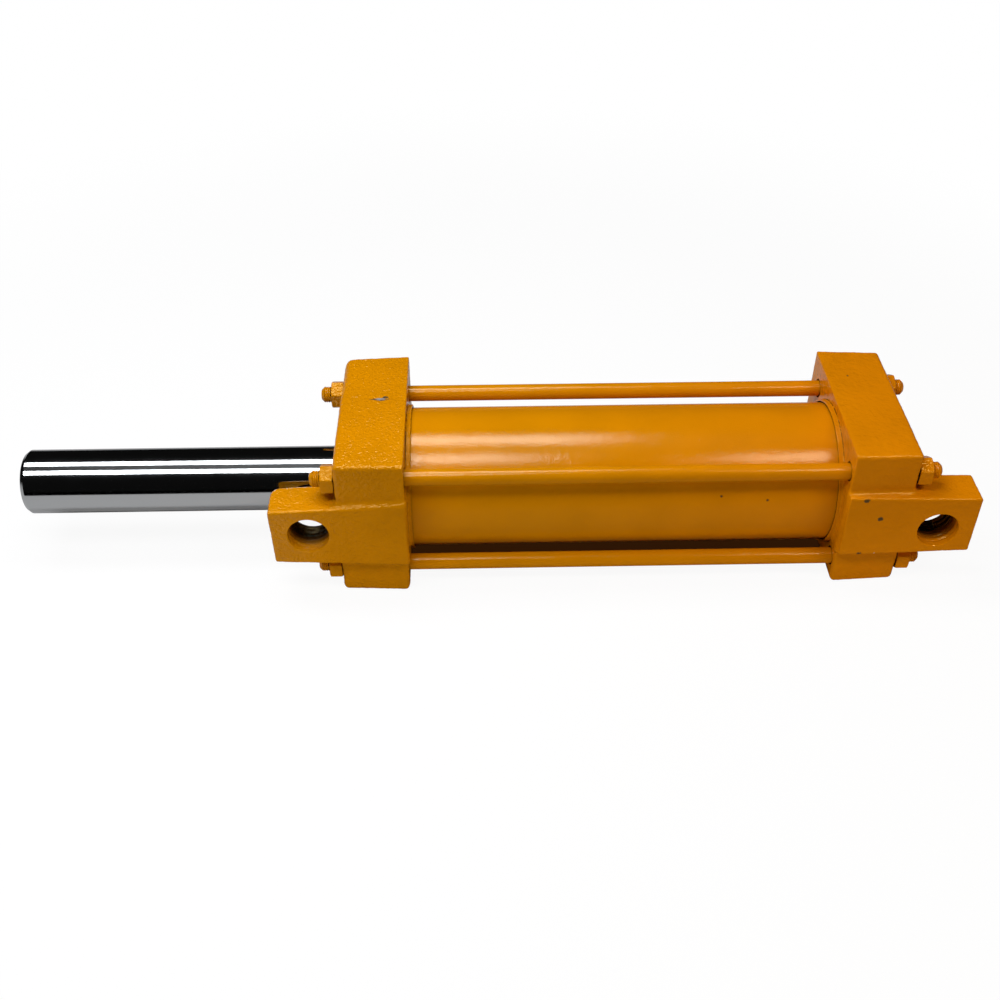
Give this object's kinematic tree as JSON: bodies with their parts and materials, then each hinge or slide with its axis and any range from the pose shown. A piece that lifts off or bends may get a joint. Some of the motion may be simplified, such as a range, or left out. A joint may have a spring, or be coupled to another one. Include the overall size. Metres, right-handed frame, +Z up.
{
  "type": "hydraulic cylinder",
  "caption": "Tie-rod hydraulic cylinder with side-lug castings, a chromed rod with a tapped end, and an inner piston with its seals; the rod slides and turns.",
  "frame": {"origin": "centre of the end cap's lug bore, at the middle of the lug's thickness", "axes": "+X along the cylinder from the rod's end to the end cap; the lug bores' axes run along Y and the lugs stand on the -Y side; +Z up"},
  "size_m": [0.8705, 0.1759, 0.1484],
  "materials": {
    "yellow_enamel": "gloss, orange-peel",
    "hard_chrome": "ground and polished hard chrome",
    "turned_steel": "turned",
    "bearing_bronze": "turned",
    "nitrile_rubber": "moulded",
    "polyurethane": "moulded",
    "filled_ptfe": "turned"
  },
  "bodies": {
    "housing": {"rod_head": "yellow_enamel", "end_cap": "yellow_enamel", "barrel": "yellow_enamel", "tie_rod_upper_front": "yellow_enamel", "tie_rod_upper_back": "yellow_enamel", "tie_rod_lower_front": "yellow_enamel", "tie_rod_lower_back": "yellow_enamel", "head_nut_upper_front": "yellow_enamel", "head_nut_upper_back": "yellow_enamel", "head_nut_lower_front": "yellow_enamel", "head_nut_lower_back": "yellow_enamel", "cap_nut_upper_front": "yellow_enamel", "cap_nut_upper_back": "yellow_enamel", "cap_nut_lower_front": "yellow_enamel", "cap_nut_lower_back": "yellow_enamel", "head_o_ring": "nitrile_rubber", "head_backup_ring": "filled_ptfe", "cap_o_ring": "nitrile_rubber", "cap_backup_ring": "filled_ptfe", "rod_bushing": "bearing_bronze", "rod_buffer_seal": "filled_ptfe", "rod_seal": "polyurethane", "rod_wiper": "nitrile_rubber", "wiper_snap_ring": "turned_steel"},
    "piston_seals": {"piston_seal": "polyurethane", "piston_seal_energiser": "nitrile_rubber", "wear_ring_front": "filled_ptfe", "wear_ring_rear": "filled_ptfe"},
    "rod": {"piston_rod": "hard_chrome", "piston": "turned_steel", "piston_nut": "turned_steel", "piston_o_ring": "nitrile_rubber"}
  },
  "joints": [
    {"name": "rod_slide", "type": "slide", "parent": "housing", "child": "piston_seals", "axis": [-1, 0, 0], "range_m": [-0.275, 0.025]},
    {"name": "rod_turn", "type": "hinge", "parent": "piston_seals", "child": "rod", "pos_m": [-0.6, 0.0665, 0.0035], "axis": [1, 0, 0], "continuous": true}
  ]
}
